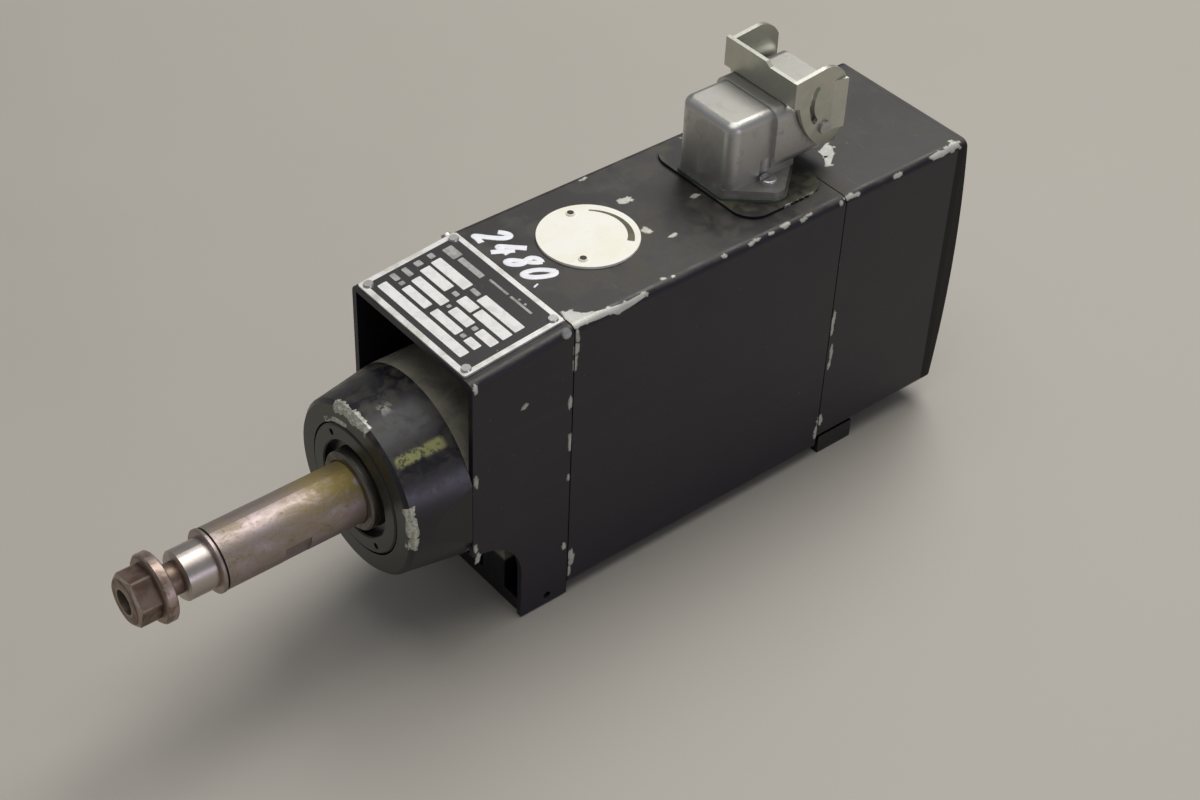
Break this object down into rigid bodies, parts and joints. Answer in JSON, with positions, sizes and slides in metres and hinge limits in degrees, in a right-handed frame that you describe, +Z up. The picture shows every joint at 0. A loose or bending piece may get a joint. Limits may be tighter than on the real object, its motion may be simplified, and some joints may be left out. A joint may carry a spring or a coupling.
{
  "type": "motor spindle",
  "caption": "Narrow high-frequency motor spindle with a shaft for a bored tool, clamp screw and washer, internal motor, fan and an angled plug connector with locking lever.",
  "frame": {"origin": "on the spindle axis, in the shoulder that the tool seats against", "axes": "+X along the spindle towards the tool, +Z up from the feet, +Y to the side that the picture shows"},
  "size_m": [0.303, 0.0618, 0.1479],
  "materials": {
    "black_paint": "satin black paint, chipped at edges",
    "cast_aluminium": "cast, dusty",
    "shaft_steel": "ground steel with yellowish stains",
    "cap_steel": "turned steel",
    "bearing_steel": "polished",
    "core_steel": "laminated steel",
    "rotor_aluminium": "cast",
    "copper": "enamelled copper",
    "fastener_steel": "zinc plated",
    "stained_steel": "brownish stained steel",
    "nameplate_metal": "printed black and silver",
    "label_cream": "cream print",
    "connector_alloy": "bead blasted die casting",
    "gasket_rubber": "flat sheet",
    "insert_plastic": "moulded",
    "contact_brass": "turned",
    "lead_insulation": "insulated wire",
    "zinc_steel": "zinc plated, yellowish"
  },
  "bodies": {
    "housing": {"front_hood": "black_paint", "stator_shroud": "black_paint", "fan_cover": "black_paint", "rear_plate": "black_paint", "nose_housing": "black_paint", "connector_pad": "black_paint", "front_end_bell": "cast_aluminium", "rear_end_bell": "cast_aluminium", "bearing_cap": "cap_steel", "front_bearing_outer_rings": "bearing_steel", "rear_bearing_outer_ring": "bearing_steel", "outer_spacer": "bearing_steel", "preload_spring": "bearing_steel", "stator_core": "core_steel", "stator_winding": "copper", "rear_plate_screws": "fastener_steel", "hood_screws": "fastener_steel", "nose_screws": "fastener_steel", "tie_rods": "fastener_steel", "tie_rod_nuts": "fastener_steel", "connector_screws": "fastener_steel", "nameplate_rivets": "fastener_steel", "label_pins": "fastener_steel", "lever_pivots": "fastener_steel", "nameplate": "nameplate_metal", "direction_label": "label_cream", "connector_housing": "connector_alloy", "connector_gasket": "gasket_rubber", "connector_insert": "insert_plastic", "contact_pins": "contact_brass", "winding_leads": "lead_insulation"},
    "spindle": {"spindle_shaft": "shaft_steel", "labyrinth_ring": "shaft_steel", "front_bearing_inner_rings": "bearing_steel", "inner_spacer": "bearing_steel", "rear_bearing_inner_ring": "bearing_steel", "bearing_lock_nut": "shaft_steel", "rotor_core": "core_steel", "rotor_end_rings": "rotor_aluminium", "cooling_fan": "cast_aluminium", "fan_clip": "fastener_steel"},
    "front_balls_1": {"front_balls_1": "bearing_steel"},
    "front_balls_2": {"front_balls_2": "bearing_steel"},
    "rear_balls": {"rear_balls": "bearing_steel"},
    "clamp_washer": {"clamp_washer": "stained_steel"},
    "clamp_screw": {"clamp_screw": "stained_steel"},
    "lever": {"locking_lever": "zinc_steel"}
  },
  "joints": [
    {"name": "spindle_spin", "type": "hinge", "parent": "housing", "child": "spindle", "pos_m": [0, 0, 0], "axis": [1, 0, 0], "continuous": true},
    {"name": "front_cage_1_spin", "type": "hinge", "parent": "housing", "child": "front_balls_1", "pos_m": [-0.0625, 0, 0], "axis": [1, 0, 0], "continuous": true},
    {"name": "front_cage_2_spin", "type": "hinge", "parent": "housing", "child": "front_balls_2", "pos_m": [-0.0785, 0, 0], "axis": [1, 0, 0], "continuous": true},
    {"name": "rear_cage_spin", "type": "hinge", "parent": "housing", "child": "rear_balls", "pos_m": [-0.229, 0, 0], "axis": [1, 0, 0], "continuous": true},
    {"name": "clamp_feed", "type": "slide", "parent": "spindle", "child": "clamp_washer", "axis": [1, 0, 0], "range_m": [-0.005, 0.04]},
    {"name": "clamp_screw_turn", "type": "hinge", "parent": "clamp_washer", "child": "clamp_screw", "pos_m": [0.0188, 0, 0], "axis": [1, 0, 0], "range_deg": [-1500, 10200]},
    {"name": "lever_swing", "type": "hinge", "parent": "housing", "child": "lever", "pos_m": [-0.221, -0.0017, 0.0701], "axis": [0, -1, 0], "range_deg": [0, 95]}
  ],
  "couplings": [
    {"joint": "front_cage_1_spin", "follows": "spindle_spin", "ratio": 0.40323},
    {"joint": "front_cage_2_spin", "follows": "spindle_spin", "ratio": 0.40323},
    {"joint": "rear_cage_spin", "follows": "spindle_spin", "ratio": 0.40213},
    {"joint": "clamp_screw_turn", "follows": "clamp_feed", "rad_per_m": 4188.8}
  ]
}
